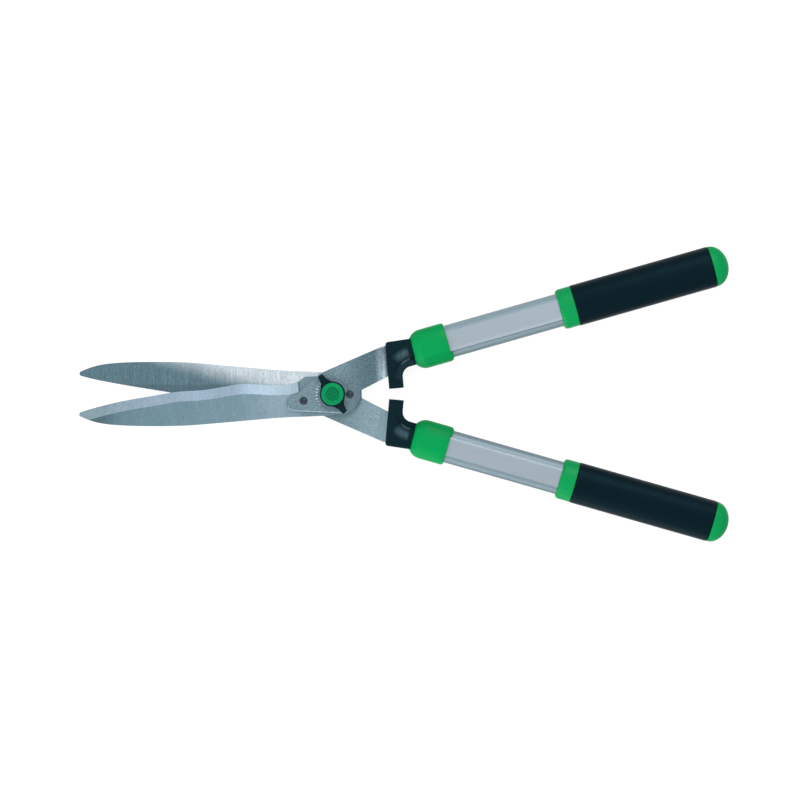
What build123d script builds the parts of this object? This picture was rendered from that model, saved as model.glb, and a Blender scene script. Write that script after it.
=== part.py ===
from build123d import *
import math
import os

os.makedirs("parts", exist_ok=True)

# Hedge shears: two like arms crossed on one bolt, each a ground blade riveted to a joggled tang
# that runs into an oval handle tube. Millimetres and degrees.
# One arm is drawn with the shears shut: pivot at the origin, shear face just above XY, blade
# towards -X, handle towards +X, outer side towards +Z. It is then seated twice.

# Arms and pivot stack
stored_opening = 10.0
shear_gap = 0.1
blade_thickness = 3.2
tang_thickness = 3.6

# Blades, in plan, as points on two smooth curves. The front edge is ground in waves, the rear
# edge in one plain bow; their tips, heels and spines are alike.
tip_point = (-232.5, 2.3)
tip_radius = 2.2
tip_slope = 0.26
heel_point = (-29.3, 13.9)
heel_slope = 0.3
wavy_edge = (
    (-205.6, 7.8),
    (-182.0, 10.8),
    (-160.0, 12.5),
    (-138.0, 14.2),
    (-119.0, 13.7),
    (-100.0, 14.8),
    (-81.0, 16.1),
    (-62.0, 13.9),
    (-44.0, 12.1),
)
plain_edge = ((-205.7, 6.6), (-151.0, 11.0), (-100.0, 12.9))
heel_crest = (-23.5, 17.6)
heel_root = (-13.3, 17.2)
spine_belly = ((-217.6, -5.5), (-196.4, -10.9), (-164.2, -14.7))
spine_tip_slope = 0.6
spine_depth = 17.1
spine_flat = (-119.0, -54.0)
tail_start = (-4.0, -18.9)
tail_margin = 6.2
bevel_width = 9.1
edge_land = 0.3
bevel_run_out = 8.0

# Tang plate, in plan
nose_x = -41.9
nose_low = -11.7
nose_high = -0.5
nose_radius = 6.5
throat_point = (-29.5, 5.0)
brow_point = (-8.3, 19.9)
crotch_point = (26.3, 1.35)
crotch_radius = 2.6
boss_centre = (8.5, -0.5)
boss_radius = 17.6
boss_arc_start = -10.0
boss_arc_end = -97.7
tang_edge_break = 1.0

# Handle line: its angle and its distance from the pivot, with the shears shut
handle_splay = 10.87
handle_offset = 16.9

# Joggle and tongue, measured along the handle line
joggle_start = 46.8
joggle_end = 57.0
joggle_radius = 4.0
shoulder_top = (56.0, 12.3)
tongue_top_start = 62.0
tongue_low_start = 79.0
tongue_end = 146.0
tongue_width = 20.0

# Rivets
rivet_points = ((-26.5, -3.8), (15.3, -1.7))
rivet_radius = 3.5
rivet_flare = 1.1
rivet_proud = 0.2
rivet_clearance = 0.02

# Click notches pressed in the front tang
notch_ring_radius = 14.3
notch_count = 32
notch_length = 1.8
notch_width = 1.1
notch_depth = 0.5

# Pivot bolt and washers
bolt_radius = 5.0
bolt_key_width = 8.0
bolt_clearance = 0.05
thread_radius = 4.0
thread_length = 6.0
thread_room = 1.0
bolt_head_flats = 17.0
bolt_head_height = 5.25
bolt_head_break = 0.7
thread_lead_in = 0.7
washer_radius = 10.0
washer_thickness = 1.5
washer_gap = 0.05
spring_radius = 9.0
spring_thickness = 0.6
spring_rise = 0.9

# Tension knob, nut insert and cap
nut_flats = 13.0
nut_height = 5.0
knob_hub_radius = 11.3
knob_floor = 1.1
knob_height = 6.6
wing_reach = 20.2
wing_tip_width = 5.2
wing_flare_start = 18.5
wing_drop = 1.6
wing_angle = 124.0
wing_corner = 1.5
click_rib_width = 0.8
click_rib_gap = 0.2
cap_radius = 10.1
cap_seat = 1.5
cap_proud = 0.9
cap_edge_break = 0.5
moulding_clearance = 0.05

# Bumper
bumper_front = 50.95
bumper_top = 42.1
bumper_leg = 13.2
bumper_gap = 0.1
bumper_thickness = 17.2
bumper_corner = 2.7
bumper_bend = 9.0
bumper_edge = 1.2
web_width = 7.0
web_thickness = 12.6
web_draft = 12.0

# Ferrule
ferrule_start = 79.6
ferrule_end = 112.3
ferrule_width = 35.6
ferrule_thickness = 26.0
ferrule_mouth_width = 24.0
ferrule_shoulder = 10.4
ferrule_wall_front = 4.4
ferrule_lip = 1.6
ferrule_lip_start = 8.0
ferrule_lip_slant = 4.5
ferrule_corner = 2.5

# Handle tube and what is inside it
tube_width = 30.0
tube_side_thickness = 17.6
tube_thickness = 19.0
tube_flat_width = 18.5
tube_wall = 1.5
tube_groove_width = 1.0
tube_groove_depth = 0.5
tube_groove_inset = 1.1
fit_clearance = 0.1
core_start = 86.0
core_end = 150.0
pin_radius = 2.5
pin_station = 98.0
pin_clearance = 0.02

# Grip ring, grip and end cap
grip_start = 231.1
ring_length = 14.2
ring_start = grip_start - ring_length
ring_width = 36.7
ring_thickness = 26.8
ring_edge = 2.7
grip_end = 359.6
grip_width = 37.3
grip_thickness = 27.2
grip_edge = 1.0
end_cap_length = 14.6
end_cap_width = 36.8
end_cap_thickness = 26.8
end_cap_plan_radius = 11.5
end_cap_side_radius = 16.0
spigot_length = 14.0
tube_setback = 2.6
tube_end = grip_end - tube_setback

# Levels above the shear plane
blade_face = shear_gap / 2
blade_top = blade_face + blade_thickness
arm_top = blade_top + tang_thickness
arm_middle = blade_top + tang_thickness / 2

# Planes of the handle: lengthwise, on edge, and across
splay = math.radians(handle_splay)
handle = Plane(
    origin=(-handle_offset * math.sin(splay), handle_offset * math.cos(splay), 0),
    x_dir=(math.cos(splay), math.sin(splay), 0),
    z_dir=(0, 0, 1),
)
handle_edge = Plane(origin=handle.origin, x_dir=handle.x_dir, z_dir=-handle.y_dir)


def handle_point(station, offset):
    """A point in the arm's plan, from its place along and across the handle line."""
    return handle.from_local_coords((station, offset, 0))


def across(station):
    """Plane square to the handle line at a station: X across the handle, Y upwards."""
    return Plane(origin=handle_point(station, 0), x_dir=handle.y_dir, z_dir=handle.x_dir)


def tube_profile(growth):
    """Oval tube section with a raised flat on each side, grown or shrunk all round."""
    with BuildSketch(Plane.XY) as profile:
        SlotOverall(tube_width + 2 * growth, tube_side_thickness + 2 * growth)
        Rectangle(tube_flat_width + 2 * growth, tube_thickness + 2 * growth)
    return profile.sketch


def trimmed_bar(start, plan, side, width, thickness, length):
    """Oval bar on the handle line, trimmed to its plan and to its side view."""
    with BuildPart() as bar:
        with BuildSketch(across(start)):
            SlotOverall(width, thickness)
        extrude(amount=length)
        with BuildSketch(handle.offset(-thickness)):
            add(plan)
        extrude(amount=2 * thickness, mode=Mode.INTERSECT)
        with BuildSketch(handle_edge.offset(-width)):
            add(side)
        extrude(amount=2 * width, mode=Mode.INTERSECT)
    return bar.part


def pivot_bore(keyed):
    """Bolt hole: round, or with two flats in the arm that keeps the bolt from turning."""
    with BuildSketch(Plane.XY) as bore:
        Circle(bolt_radius + bolt_clearance)
        if keyed:
            Rectangle(
                4 * bolt_radius, bolt_key_width + 2 * bolt_clearance, mode=Mode.INTERSECT
            )
    return bore.sketch


def make_rivet(growth):
    """Rivet with a straight shank, flared flush at the shear face."""
    with BuildPart() as rivet:
        with BuildSketch(Plane.XZ):
            with BuildLine():
                Polyline(
                    (0, blade_face),
                    (rivet_radius + rivet_flare + growth, blade_face),
                    (rivet_radius + growth, blade_face + rivet_flare),
                    (rivet_radius + growth, arm_top + rivet_proud),
                    (0, arm_top + rivet_proud),
                    close=True,
                )
            make_face()
        revolve(axis=Axis.Z)
    return rivet.part


def rivet_pair(growth):
    """The two rivets of an arm, or the holes they fill."""
    rivet = make_rivet(growth)
    with BuildPart() as pair:
        with Locations(*rivet_points):
            add(rivet)
    return pair.part


def bevel_cutter(edge_points):
    """Wedge swept along the cutting edge, ended square at the heel."""
    tip_heading = Vector(1, tip_slope).normalized() * bevel_run_out
    heel_heading = Vector(1, heel_slope).normalized() * bevel_run_out
    start = Vector(*edge_points[0]) - tip_heading
    inward = Vector(tip_heading.Y, -tip_heading.X)
    slope = (blade_thickness - edge_land) / bevel_width
    with BuildPart() as cutter:
        with BuildLine(Plane.XY.offset(blade_face)) as edge_path:
            Line(start, edge_points[0])
            Spline(*edge_points, tangents=(tip_heading, heel_heading))
            Line(edge_points[-1], Vector(*edge_points[-1]) + heel_heading)
        with BuildSketch(Plane(origin=edge_path.line @ 0, x_dir=inward, z_dir=-tip_heading)):
            with BuildLine():
                Polyline(
                    (-bevel_width, edge_land - slope * bevel_width),
                    (bevel_width, blade_thickness),
                    (bevel_width, 2 * blade_thickness),
                    (-bevel_width, 2 * blade_thickness),
                    close=True,
                )
            make_face()
        sweep(path=edge_path.line)
        split(bisect_by=Plane.YZ.offset(edge_points[-1][0]), keep=Keep.BOTTOM)
    return cutter.part


def make_blade(keyed, edge_middle):
    """Blade: plate outline, bevel along the cutting edge, rivet and bolt holes."""
    edge_points = (tip_point, *edge_middle, heel_point)
    tail_x = rivet_points[1][0] + tail_margin
    bevel = bevel_cutter(edge_points)
    rivet_holes = rivet_pair(rivet_clearance)
    with BuildPart() as blade:
        with BuildSketch(Plane.XY.offset(blade_face)):
            with BuildLine():
                Spline(*edge_points, tangents=((1, tip_slope), (1, heel_slope)))
                Polyline(heel_point, heel_crest, heel_root)
                Spline(
                    heel_root,
                    (tail_x, rivet_points[1][1]),
                    tail_start,
                    tangents=((1, 0), (0, -1), (-1, 0)),
                )
                Spline(tail_start, (spine_flat[1], -spine_depth), tangents=((-1, 0), (-1, 0)))
                Line((spine_flat[1], -spine_depth), (spine_flat[0], -spine_depth))
                Spline(
                    (spine_flat[0], -spine_depth),
                    *reversed(spine_belly),
                    tip_point,
                    tangents=((-1, 0), (-1, spine_tip_slope)),
                )
            outline = make_face()
            fillet(outline.vertices().sort_by(Axis.X)[0], tip_radius)
        extrude(amount=blade_thickness)
        add(bevel, mode=Mode.SUBTRACT)
        with BuildSketch(Plane.XY):
            add(pivot_bore(keyed))
        extrude(amount=2 * arm_top, mode=Mode.SUBTRACT)
        add(rivet_holes, mode=Mode.SUBTRACT)
    return blade.part


def tang_blank(growth):
    """Joggled strip cut to the tang's outline, grown all round for a cavity around it."""
    half_tongue = tongue_width / 2
    reach = tongue_end + 2 * growth
    with BuildPart() as blank:
        with BuildSketch(handle_edge):
            with BuildLine():
                FilletPolyline(
                    (2 * nose_x, arm_middle),
                    (joggle_start, arm_middle),
                    (joggle_end, 0),
                    (reach + tongue_width, 0),
                    radius=joggle_radius,
                )
            trace(line_width=tang_thickness + 2 * growth)
        extrude(amount=-2 * nose_x, both=True)
        with BuildSketch(Plane.XY.offset(-2 * arm_top)):
            with BuildLine():
                boss = CenterArc(
                    boss_centre, boss_radius, boss_arc_start, boss_arc_end - boss_arc_start
                )
                Polyline(
                    boss @ 1,
                    (nose_x, nose_low),
                    (nose_x, nose_high),
                    throat_point,
                    brow_point,
                    handle_point(*shoulder_top),
                    handle_point(tongue_top_start, half_tongue),
                    handle_point(reach, half_tongue),
                    handle_point(reach, -half_tongue),
                    handle_point(tongue_low_start, -half_tongue),
                    crotch_point,
                    boss @ 0,
                )
            outline = make_face()
            fillet(outline.vertices().group_by(Axis.X)[0], nose_radius)
            crotch = outline.vertices().sort_by_distance((*crotch_point, -2 * arm_top))[0]
            fillet(crotch, crotch_radius)
            if growth > 0:
                offset(amount=growth)
        extrude(amount=4 * arm_top, mode=Mode.INTERSECT)
    return blank.part


def make_tang(keyed):
    """Tang: joggled plate with rivet, bolt and pin holes, and click notches if it takes the knob."""
    blank = tang_blank(0.0)
    rivet_holes = rivet_pair(rivet_clearance)
    with BuildPart() as tang:
        add(blank)
        plate_rim = tang.faces().filter_by(Plane.XY).sort_by(Axis.Z)[-1].edges()
        chamfer(
            [edge for edge in plate_rim if (edge @ 0.5).X < crotch_point[0]],
            tang_edge_break,
        )
        with BuildSketch(Plane.XY):
            add(pivot_bore(keyed))
        extrude(amount=2 * arm_top, mode=Mode.SUBTRACT)
        add(rivet_holes, mode=Mode.SUBTRACT)
        with BuildSketch(Plane.XY.offset(-arm_top)):
            with Locations(handle_point(pin_station, 0)):
                Circle(pin_radius + pin_clearance)
        extrude(amount=2 * arm_top, mode=Mode.SUBTRACT)
        if keyed:
            with BuildSketch(Plane.XY.offset(arm_top - notch_depth)):
                for angle in notch_angles():
                    with PolarLocations(notch_ring_radius, 1, angle):
                        Rectangle(notch_length, notch_width)
            extrude(amount=2 * notch_depth, mode=Mode.SUBTRACT)
    return tang.part


def notch_angles():
    """Angles of the click notches: an even ring, less those that the near rivet takes."""
    x, y = rivet_points[1]
    rivet_angle = math.degrees(math.atan2(y, x))
    rivet_reach = rivet_radius + notch_width
    spared = math.degrees(math.asin(rivet_reach / math.hypot(x, y)))
    pitch = 360 / notch_count
    angles = [index * pitch for index in range(notch_count)]
    return [a for a in angles if abs((a - rivet_angle + 180) % 360 - 180) > spared]


def make_bumper():
    """Rubber buffer moulded round the joggle: neck, stop leg, and a thinner web in their bend."""
    neck_half = ferrule_mouth_width / 2
    leg_inner = bumper_front + bumper_leg
    neck_low = handle_point(ferrule_start, -neck_half)
    bend_corner = neck_low - handle.x_dir * ((neck_low.X - leg_inner) / handle.x_dir.X)
    bend_rise = bumper_bend * math.tan(math.radians(45 - handle_splay / 2))
    bend_centre = bend_corner + Vector(bumper_bend, -bend_rise)
    web_fall = Vector(1, 1).normalized() * math.tan(math.radians(web_draft))
    web_seat = Plane(
        origin=bend_centre + Vector(0, 0, web_thickness / 2), z_dir=Vector(0, 0, 1) + web_fall
    )
    cavity = tang_blank(moulding_clearance)
    with BuildPart() as relief:
        with BuildSketch(web_seat):
            Circle(bumper_bend + web_width)
        extrude(amount=bumper_thickness)
        mirror(about=Plane.XY)
    with BuildPart() as bumper:
        with BuildSketch(Plane.XY.offset(-bumper_thickness / 2)):
            with BuildLine():
                Polyline(
                    (bumper_front, bumper_gap),
                    (bumper_front, bumper_top),
                    handle_point(ferrule_start, neck_half),
                    neck_low,
                    bend_corner,
                    (leg_inner, bumper_gap),
                    close=True,
                )
            corners = make_face().vertices()
            fillet(corners.sort_by_distance(bend_corner)[0], bumper_bend)
        extrude(amount=bumper_thickness)
        upright = bumper.edges().filter_by(Axis.Z)
        fillet(upright.sort_by_distance((bumper_front, bumper_top, 0))[0], bumper_corner)
        rim = bumper.faces().filter_by(Plane.XY).edges()
        chamfer(
            [
                edge
                for edge in rim
                if (edge @ 0.5).Y > bumper_gap + bumper_edge
                and handle.to_local_coords(edge @ 0.5).X < ferrule_start - bumper_edge
            ],
            bumper_edge,
        )
        add(relief.part, mode=Mode.SUBTRACT)
        add(cavity, mode=Mode.SUBTRACT)
    return bumper.part


def ferrule_view(half_width, end):
    """Plan or side view of the ferrule, its front drawn in to the mouth by round shoulders."""
    rise = (ferrule_width - ferrule_mouth_width) / 2
    half_mouth = half_width - rise
    shoulder_radius = (ferrule_shoulder**2 + rise**2) / (2 * rise)
    shoulder_end = ferrule_start + ferrule_shoulder
    with BuildSketch(Plane.XY) as view:
        with BuildLine():
            RadiusArc((ferrule_start, half_mouth), (shoulder_end, half_width), shoulder_radius)
            Polyline(
                (shoulder_end, half_width),
                (end, half_width),
                (end, -half_width),
                (shoulder_end, -half_width),
            )
            RadiusArc((shoulder_end, -half_width), (ferrule_start, -half_mouth), shoulder_radius)
            Line((ferrule_start, -half_mouth), (ferrule_start, half_mouth))
        make_face()
    return view.sketch


def make_ferrule():
    """Ferrule: bell-shouldered oval shell over the tube's end, slotted for the tongue."""
    half_width = ferrule_width / 2
    lip_end = ferrule_end + ferrule_lip
    bell = trimmed_bar(
        ferrule_start,
        ferrule_view(half_width, lip_end),
        ferrule_view(ferrule_thickness / 2, lip_end),
        ferrule_width,
        ferrule_thickness,
        lip_end - ferrule_start,
    )
    with BuildPart() as ferrule:
        add(bell)
        with BuildSketch(handle.offset(-ferrule_thickness)):
            with BuildLine():
                Polyline(
                    (ferrule_end, ferrule_width),
                    (ferrule_end, -ferrule_lip_start),
                    (lip_end, -ferrule_lip_start - ferrule_lip_slant),
                    (lip_end, -half_width),
                    (ferrule_end - ferrule_corner, -half_width),
                    (ferrule_end - ferrule_corner, -ferrule_width),
                    (2 * ferrule_end, -ferrule_width),
                    (2 * ferrule_end, ferrule_width),
                    close=True,
                )
            corners = make_face().vertices()
            fillet(corners.sort_by_distance((lip_end, -half_width))[0], ferrule_corner)
        extrude(amount=2 * ferrule_thickness, mode=Mode.SUBTRACT)
        with BuildSketch(across(ferrule_start + ferrule_wall_front)):
            add(tube_profile(fit_clearance))
        extrude(amount=ferrule_end - ferrule_start, mode=Mode.SUBTRACT)
        with BuildSketch(across(ferrule_start)):
            Rectangle(tongue_width + 2 * fit_clearance, tang_thickness + 2 * fit_clearance)
        extrude(amount=ferrule_wall_front, mode=Mode.SUBTRACT)
    return ferrule.part


def make_tube():
    """Drawn oval tube, lined along its inner side and drilled through for the pin."""
    tube_start = ferrule_start + ferrule_wall_front
    groove_offset = tube_groove_inset - tube_flat_width / 2
    drilling = pin_drilling()
    with BuildPart() as tube:
        with BuildSketch(across(tube_start)):
            add(tube_profile(0))
            with Locations((groove_offset, tube_thickness / 2), (groove_offset, -tube_thickness / 2)):
                Rectangle(tube_groove_width, 2 * tube_groove_depth, mode=Mode.SUBTRACT)
            add(tube_profile(-tube_wall), mode=Mode.SUBTRACT)
        extrude(amount=tube_end - tube_start)
        add(drilling, mode=Mode.SUBTRACT)
    return tube.part


def pin_drilling():
    """The drilling that the cross pin fills."""
    with BuildPart() as drilling:
        with BuildSketch(Plane.XY.offset(-tube_thickness)):
            with Locations(handle_point(pin_station, 0)):
                Circle(pin_radius + pin_clearance)
        extrude(amount=2 * tube_thickness)
    return drilling.part


def make_core():
    """Plastic core that centres the tongue in the tube."""
    drilling = pin_drilling()
    with BuildPart() as core:
        with BuildSketch(across(core_start)):
            add(tube_profile(-tube_wall - fit_clearance))
            Rectangle(
                tongue_width + 2 * fit_clearance,
                tang_thickness + 2 * fit_clearance,
                mode=Mode.SUBTRACT,
            )
        extrude(amount=core_end - core_start)
        add(drilling, mode=Mode.SUBTRACT)
    return core.part


def make_pin():
    """Cross pin through tube, core and tongue."""
    with BuildPart() as pin:
        with BuildSketch(Plane.XY.offset(-tube_thickness / 2)):
            with Locations(handle_point(pin_station, 0)):
                Circle(pin_radius)
        extrude(amount=tube_thickness)
    return pin.part


def sleeve_view(start, end, half_width, edge):
    """Plan or side view of a sleeve, its front corners rounded."""
    with BuildSketch(Plane.XY) as view:
        with Locations(((start + end) / 2, 0)):
            Rectangle(end - start, 2 * half_width)
        fillet(view.vertices().group_by(Axis.X)[0], edge)
    return view.sketch


def oval_sleeve(start, end, width, thickness, edge):
    """Oval sleeve on the tube, with its leading rim rounded."""
    blank = trimmed_bar(
        start,
        sleeve_view(start, end, width / 2, edge),
        sleeve_view(start, end, thickness / 2, edge),
        width,
        thickness,
        end - start,
    )
    with BuildPart() as sleeve:
        add(blank)
        with BuildSketch(across(start)):
            add(tube_profile(fit_clearance))
        extrude(amount=end - start, mode=Mode.SUBTRACT)
    return sleeve.part


def dome_view(half_width, side_radius):
    """Plan or side view of the end cap's dome: a half oval of two side arcs and a tip arc."""
    side_centre = Vector(grip_end, half_width - side_radius)
    tip_square = end_cap_length**2 + side_centre.Y**2 - side_radius**2
    tip_radius = tip_square / (2 * (end_cap_length - side_radius))
    tip_centre = Vector(grip_end + end_cap_length - tip_radius, 0)
    outward = (side_centre - tip_centre) * math.copysign(1, tip_radius - side_radius)
    joint = side_centre + outward.normalized() * side_radius
    with BuildSketch(Plane.XY) as view:
        with BuildLine():
            RadiusArc((grip_end, half_width), (joint.X, joint.Y), side_radius)
            RadiusArc((joint.X, joint.Y), (joint.X, -joint.Y), tip_radius)
            RadiusArc((joint.X, -joint.Y), (grip_end, -half_width), side_radius)
            Line((grip_end, -half_width), (grip_end, half_width))
        make_face()
    return view.sketch


def make_end_cap():
    """Domed oval cap with a spigot that plugs the tube."""
    dome = trimmed_bar(
        grip_end,
        dome_view(end_cap_width / 2, end_cap_plan_radius),
        dome_view(end_cap_thickness / 2, end_cap_side_radius),
        end_cap_width,
        end_cap_thickness,
        end_cap_length,
    )
    with BuildPart() as cap:
        add(dome)
        with BuildSketch(across(grip_end - spigot_length)):
            add(tube_profile(-tube_wall - fit_clearance))
        extrude(amount=spigot_length)
    return cap.part


def make_bolt():
    """Pivot bolt: hexagon head behind, round shank, keyed shank, threaded end."""
    head_top = -arm_top - washer_gap - washer_thickness
    with BuildPart() as bolt:
        with BuildSketch(Plane.XY.offset(head_top)):
            RegularPolygon(bolt_head_flats / 2, 6, major_radius=False)
        extrude(amount=-bolt_head_height)
        chamfer(bolt.edges().group_by(Axis.Z)[0], bolt_head_break)
        with BuildSketch(Plane.XY.offset(head_top)):
            Circle(bolt_radius)
        extrude(amount=-head_top)
        with BuildSketch(Plane.XY):
            Circle(bolt_radius)
            Rectangle(4 * bolt_radius, bolt_key_width, mode=Mode.INTERSECT)
        extrude(amount=arm_top)
        with BuildSketch(Plane.XY.offset(arm_top)):
            Circle(thread_radius)
        extrude(amount=thread_length)
        chamfer(bolt.edges().group_by(Axis.Z)[-1], thread_lead_in)
    return bolt.part


def make_washer():
    """Plain washer under the bolt's head."""
    with BuildPart() as washer:
        with BuildSketch(Plane.XY.offset(-arm_top - washer_gap)):
            Circle(washer_radius)
            Circle(bolt_radius + bolt_clearance, mode=Mode.SUBTRACT)
        extrude(amount=-washer_thickness)
    return washer.part


def make_spring():
    """Conical spring washer: its outer rim bears on the tang, its inner rim lifts the nut."""
    inner = thread_radius + bolt_clearance
    with BuildPart() as spring:
        with BuildSketch(Plane.XZ):
            with BuildLine():
                Polyline(
                    (spring_radius, arm_top),
                    (spring_radius, arm_top + spring_thickness),
                    (inner, arm_top + spring_rise),
                    (inner, arm_top + spring_rise - spring_thickness),
                    close=True,
                )
            make_face()
        revolve(axis=Axis.Z)
    return spring.part


def make_nut():
    """Hexagon insert threaded on the bolt, held in the knob."""
    with BuildPart() as nut:
        with BuildSketch(Plane.XY.offset(arm_top + knob_floor)):
            RegularPolygon(nut_flats / 2, 6, major_radius=False, rotation=wing_angle)
            Circle(thread_radius + bolt_clearance, mode=Mode.SUBTRACT)
        extrude(amount=nut_height)
    return nut.part


def wing_profile():
    """One wing of the knob in plan, flared from the hub's rim to a narrower tip."""
    half_tip = wing_tip_width / 2
    rise = wing_flare_start**2 + half_tip**2 - knob_hub_radius**2
    flare_radius = rise / (2 * knob_hub_radius - wing_tip_width)
    touch = Vector(wing_flare_start, half_tip + flare_radius).normalized() * knob_hub_radius
    with BuildSketch(Plane.XY) as wing:
        with BuildLine():
            Polyline(
                (wing_flare_start, -half_tip),
                (wing_reach, -half_tip),
                (wing_reach, half_tip),
                (wing_flare_start, half_tip),
            )
            RadiusArc((wing_flare_start, half_tip), (touch.X, touch.Y), flare_radius)
            Line((touch.X, touch.Y), (touch.X, -touch.Y))
            RadiusArc((touch.X, -touch.Y), (wing_flare_start, -half_tip), flare_radius)
        outline = make_face()
        fillet(outline.vertices().group_by(Axis.X)[-1], wing_corner)
    return wing.sketch


def make_knob():
    """Tension knob: round hub with two wings, a hexagon pocket, and click ribs below."""
    floor = arm_top + knob_floor
    wing = wing_profile()
    with BuildPart() as knob:
        with BuildSketch(Plane.XY.offset(floor)):
            with PolarLocations(0, 2, wing_angle):
                add(wing)
            Circle(knob_hub_radius)
        extrude(amount=knob_height - wing_drop)
        with BuildSketch(Plane.XY.offset(floor)):
            Circle(knob_hub_radius)
        extrude(amount=knob_height)
        with BuildSketch(Plane.XY.offset(floor)):
            RegularPolygon(
                nut_flats / 2 + moulding_clearance, 6, major_radius=False, rotation=wing_angle
            )
        extrude(amount=nut_height + moulding_clearance, mode=Mode.SUBTRACT)
        with BuildSketch(Plane.XY.offset(floor + nut_height)):
            Circle(thread_radius + thread_room)
        extrude(amount=knob_height, mode=Mode.SUBTRACT)
        with BuildSketch(Plane.XY.offset(floor + knob_height - cap_seat)):
            Circle(cap_radius + moulding_clearance)
        extrude(amount=cap_seat, mode=Mode.SUBTRACT)
        with BuildSketch(Plane.XY.offset(floor)):
            with PolarLocations(notch_ring_radius, 2, wing_angle):
                Rectangle(notch_length, click_rib_width)
        extrude(amount=click_rib_gap - knob_floor)
    return knob.part


def make_knob_cap():
    """Disc cap snapped into the knob's top, softly domed."""
    with BuildPart() as cap:
        with BuildSketch(Plane.XY.offset(arm_top + knob_floor + knob_height - cap_seat)):
            Circle(cap_radius)
        extrude(amount=cap_seat + cap_proud)
        chamfer(cap.edges().group_by(Axis.Z)[-1], cap_edge_break)
    return cap.part


# The two arms are alike; the front one holds the bolt and carries the click notches
front_seat = Location((0, 0, 0), (0, 0, stored_opening / 2))
rear_seat = Location((0, 0, 0), (180, 0, 0)) * front_seat
arms = {"front": (front_seat, True, wavy_edge), "rear": (rear_seat, False, plain_edge)}
shared_pieces = {
    "rivets": rivet_pair(0.0),
    "bumper": make_bumper(),
    "ferrule": make_ferrule(),
    "handle_tube": make_tube(),
    "tang_core": make_core(),
    "tang_pin": make_pin(),
    "grip_ring": oval_sleeve(ring_start, grip_start, ring_width, ring_thickness, ring_edge),
    "grip": oval_sleeve(grip_start, grip_end, grip_width, grip_thickness, grip_edge),
    "end_cap": make_end_cap(),
}
for arm, (seat, keyed, edge_middle) in arms.items():
    blade = make_blade(keyed, edge_middle)
    arm_pieces = {"blade": blade, "tang": make_tang(keyed), **shared_pieces}
    for piece_name, piece in arm_pieces.items():
        node = piece.moved(seat)
        node.label = f"{arm}_{piece_name}"
        export_step(node, f"parts/{node.label}.step")

pivot_pieces = {
    "pivot_bolt": make_bolt().moved(front_seat),
    "bolt_washer": make_washer(),
    "spring_washer": make_spring(),
    "knob_nut": make_nut(),
    "tension_knob": make_knob(),
    "knob_cap": make_knob_cap(),
}
for node_name, node in pivot_pieces.items():
    node.label = node_name
    export_step(node, f"parts/{node_name}.step")
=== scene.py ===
import math

import bmesh
import bpy
from mathutils import Matrix, Vector


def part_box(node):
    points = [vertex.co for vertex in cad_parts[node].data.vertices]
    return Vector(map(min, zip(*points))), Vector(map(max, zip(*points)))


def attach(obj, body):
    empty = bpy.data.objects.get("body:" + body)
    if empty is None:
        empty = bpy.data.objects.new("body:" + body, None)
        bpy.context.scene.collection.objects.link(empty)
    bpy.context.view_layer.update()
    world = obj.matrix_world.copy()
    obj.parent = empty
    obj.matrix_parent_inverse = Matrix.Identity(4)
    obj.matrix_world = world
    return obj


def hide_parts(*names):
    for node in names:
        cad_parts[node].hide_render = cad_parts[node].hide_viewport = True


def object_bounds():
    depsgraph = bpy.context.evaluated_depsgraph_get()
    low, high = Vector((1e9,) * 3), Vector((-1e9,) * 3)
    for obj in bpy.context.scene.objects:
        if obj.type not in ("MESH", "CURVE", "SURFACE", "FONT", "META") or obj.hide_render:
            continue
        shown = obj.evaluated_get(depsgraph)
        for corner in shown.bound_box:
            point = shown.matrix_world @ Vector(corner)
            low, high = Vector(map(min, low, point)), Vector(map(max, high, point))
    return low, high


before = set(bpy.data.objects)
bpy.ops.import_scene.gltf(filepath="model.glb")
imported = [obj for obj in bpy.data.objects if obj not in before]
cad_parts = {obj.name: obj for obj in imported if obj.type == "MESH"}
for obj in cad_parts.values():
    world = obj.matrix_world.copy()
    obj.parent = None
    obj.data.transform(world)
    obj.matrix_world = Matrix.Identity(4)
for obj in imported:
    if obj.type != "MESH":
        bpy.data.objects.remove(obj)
cad_low, cad_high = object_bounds()


# ---------------------------------------------------------------- copy stand
# The shears lie flat on a white table under a copy camera that looks straight down.
# A long lens keeps the outline free of perspective. Two soft boxes and a pale room light
# them, and a low strip at the near left picks out the edges that face it.
VIEW_WIDTH = 0.720
VIEW_CENTRE = (0.0605, -0.0054)
CAMERA_HEIGHT = 2.5

camera_data = bpy.data.cameras.new("copy_camera")
camera_data.lens = camera_data.sensor_width * CAMERA_HEIGHT / VIEW_WIDTH
camera_data.clip_end = 20
camera = bpy.data.objects.new("copy_camera", camera_data)
camera.location = (*VIEW_CENTRE, CAMERA_HEIGHT)
bpy.context.scene.collection.objects.link(camera)
bpy.context.scene.camera = camera
bpy.context.scene.view_settings.view_transform = "Standard"


def put(tree, kind, **settings):
    """Adds a node to a tree: lower-case settings are its properties."""
    node = tree.nodes.new(kind)
    for name, value in settings.items():
        setattr(node, name, value)
    return node


def seen_rays(tree):
    """1 for rays that show the background: from the camera, a gloss or through glass."""
    path = put(tree, "ShaderNodeLightPath")
    total = path.outputs["Is Camera Ray"]
    for name in ("Is Glossy Ray", "Is Transmission Ray"):
        either = put(tree, "ShaderNodeMath", operation="MAXIMUM")
        tree.links.new(total, either.inputs[0])
        tree.links.new(path.outputs[name], either.inputs[1])
        total = either.outputs[0]
    return total


ROOM_LIGHT = 0.5
ROOM_SEEN = 1.0

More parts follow.
